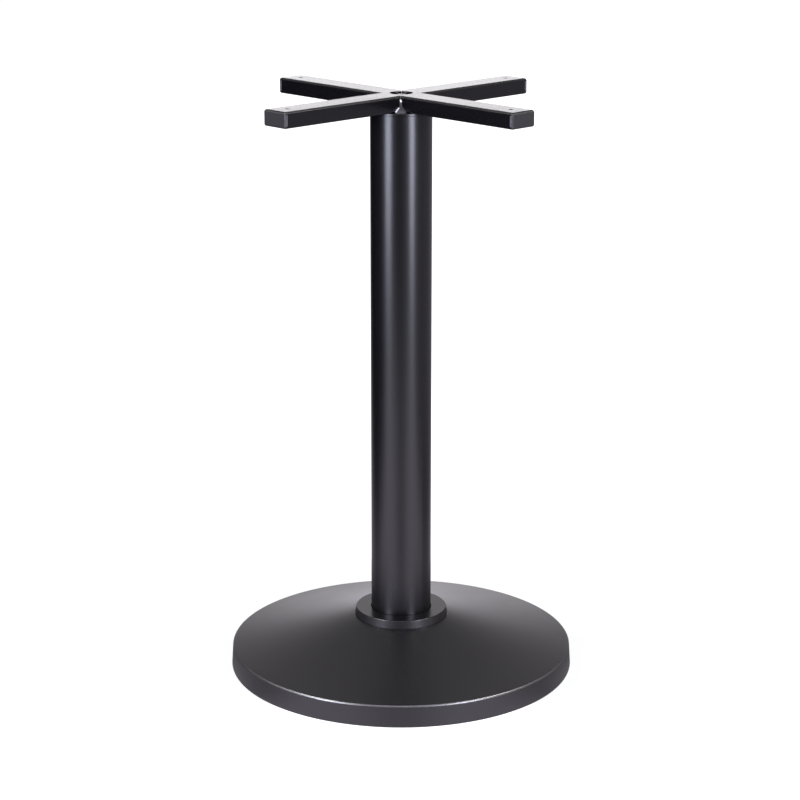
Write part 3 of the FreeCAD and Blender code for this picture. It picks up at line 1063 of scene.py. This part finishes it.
def build_room(stage):
    """Floor that all rays see, and a round room that only the coat mirrors."""
    count = ROOM_SIDES
    disc = [tuple(range(count))]
    plain_mesh("studio_floor", circle_points(FLOOR_RADIUS, 0.0), disc, floor_material(stage))
    rings = circle_points(ROOM_RADIUS, 0.0) + circle_points(ROOM_RADIUS, ROOM_HEIGHT)
    walls = [(k, (k + 1) % count, (k + 1) % count + count, k + count) for k in range(count)]
    ceiling = [tuple(range(count, 2 * count))]
    room = plain_mesh("studio_room", rings, walls + ceiling, room_material(stage))
    room.visible_camera = False
    room.visible_diffuse = False
    room.visible_shadow = False
    room.visible_transmission = False
    room.visible_volume_scatter = False


def hang(lamp, stage):
    """Makes a lamp, turned to face the axis of the base."""
    light = bpy.data.lights.new(lamp.name, "AREA")
    light.shape = "RECTANGLE"
    light.size, light.size_y = lamp.size
    light.energy = getattr(stage, lamp.power)
    light.color = stage.lamp_colour if lamp.tinted else (1.0, 1.0, 1.0)
    made = bpy.data.objects.new(lamp.name, light)
    bpy.context.scene.collection.objects.link(made)
    angle = stage.azimuth + math.radians(lamp.turn)
    place = Vector((lamp.distance * math.sin(angle), -lamp.distance * math.cos(angle), lamp.height))
    made.location = place
    made.rotation_euler = (place - Vector((0.0, 0.0, lamp.aim))).to_track_quat("Z", "Y").to_euler()
    made.visible_camera = False


def set_world(scene):
    """White to the eye and in the coat, and dimmer as a light."""
    world = bpy.data.worlds.new("studio_world")
    scene.world = world
    world.use_nodes = True
    tree = world.node_tree
    tree.nodes.clear()
    direct, _ = seen_directly(tree)
    strength = calc(tree, "MULTIPLY_ADD", direct, 1.0 - SKY_ON_OBJECT, SKY_ON_OBJECT)
    sky = put(tree, "ShaderNodeBackground", {"Color": WHITE, "Strength": strength})
    put(tree, "ShaderNodeOutputWorld", {"Surface": sky.outputs[0]})


def set_camera(scene, stage):
    camera = bpy.data.cameras.new("camera")
    camera.sensor_width = SENSOR_WIDTH
    camera.lens = stage.lens
    seat = bpy.data.objects.new("camera", camera)
    scene.collection.objects.link(seat)
    side, back = math.sin(stage.azimuth), -math.cos(stage.azimuth)
    seat.location = (stage.distance * side, stage.distance * back, stage.height)
    seat.rotation_euler = (math.pi / 2 - stage.pitch, 0.0, stage.azimuth + stage.turn)
    scene.camera = seat


class TABLEBASE_OT_stage(bpy.types.Operator):
    """Set up the floor, the room, the lamps and the camera"""

    bl_idname = "tablebase.stage"
    bl_label = "Studio"

    def execute(self, context):
        scene = context.scene
        stage = scene.tablebase_stage
        build_room(stage)
        for lamp in LAMPS:
            hang(lamp, stage)
        set_world(scene)
        set_camera(scene, stage)
        scene.view_settings.view_transform = "Standard"
        return {"FINISHED"}


# Add-on


OPERATORS = (
    TABLEBASE_OT_foot,
    TABLEBASE_OT_column,
    TABLEBASE_OT_arms,
    TABLEBASE_OT_welds,
    TABLEBASE_OT_rod,
    TABLEBASE_OT_hardware,
    TABLEBASE_OT_glides,
    TABLEBASE_OT_stage,
)
SETTINGS = (
    ("tablebase_finish", TableBaseFinish),
    ("tablebase_welds", TableBaseWelds),
    ("tablebase_rod", TableBaseRod),
    ("tablebase_stage", TableBaseStage),
)


class TABLEBASE_PT_panel(bpy.types.Panel):
    """Sizes, colours and steps of the table base"""

    bl_idname = "TABLEBASE_PT_panel"
    bl_label = "Table Base"
    bl_space_type = "VIEW_3D"
    bl_region_type = "UI"
    bl_category = "Table Base"

    def draw(self, context):
        layout = self.layout
        for name, kind in SETTINGS:
            box = layout.box()
            settings = getattr(context.scene, name)
            for key in kind.__annotations__:
                box.prop(settings, key)
        for operator in OPERATORS:
            layout.operator(operator.bl_idname)


CLASSES = tuple(kind for _, kind in SETTINGS) + OPERATORS + (TABLEBASE_PT_panel,)


def register():
    for kind in CLASSES:
        bpy.utils.register_class(kind)
    for name, kind in SETTINGS:
        setattr(bpy.types.Scene, name, PointerProperty(type=kind))


def unregister():
    for name, _ in SETTINGS:
        delattr(bpy.types.Scene, name)
    for kind in reversed(CLASSES):
        bpy.utils.unregister_class(kind)


def main():
    register()
    for operator in OPERATORS:
        group, name = operator.bl_idname.split(".")
        getattr(getattr(bpy.ops, group), name)()


if __name__ == "__main__":
    main()
